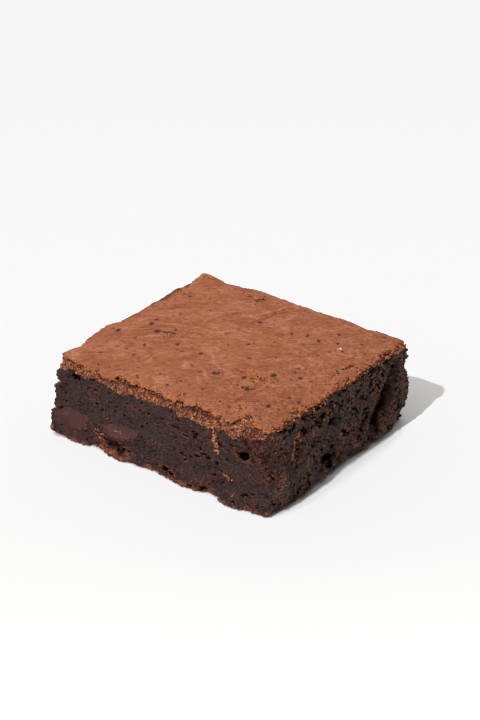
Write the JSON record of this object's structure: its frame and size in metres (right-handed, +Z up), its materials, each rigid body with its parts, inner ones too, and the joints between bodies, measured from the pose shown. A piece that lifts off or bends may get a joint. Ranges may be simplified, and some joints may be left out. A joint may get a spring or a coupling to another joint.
{
  "type": "espresso brownie",
  "caption": "Square of dense chocolate brownie with a thin baked top crust, a smooth knife-cut front and a torn crumbly side.",
  "frame": {"origin": "middle of the footprint, on the surface that the brownie lies on", "axes": "+Z up through the top crust, +X along the smooth knife-cut face, which faces -Y; the torn side faces +X"},
  "size_m": [0.0752, 0.066, 0.0248],
  "materials": {
    "crumb": "matte dark brown baked crumb, with an orange-brown dry crust on top",
    "chocolate": "satin purplish-brown cut chocolate"
  },
  "bodies": {
    "root": {"brownie": "crumb", "chocolate_chunk_large": "chocolate", "chocolate_chunk_small": "chocolate"}
  },
  "joints": []
}
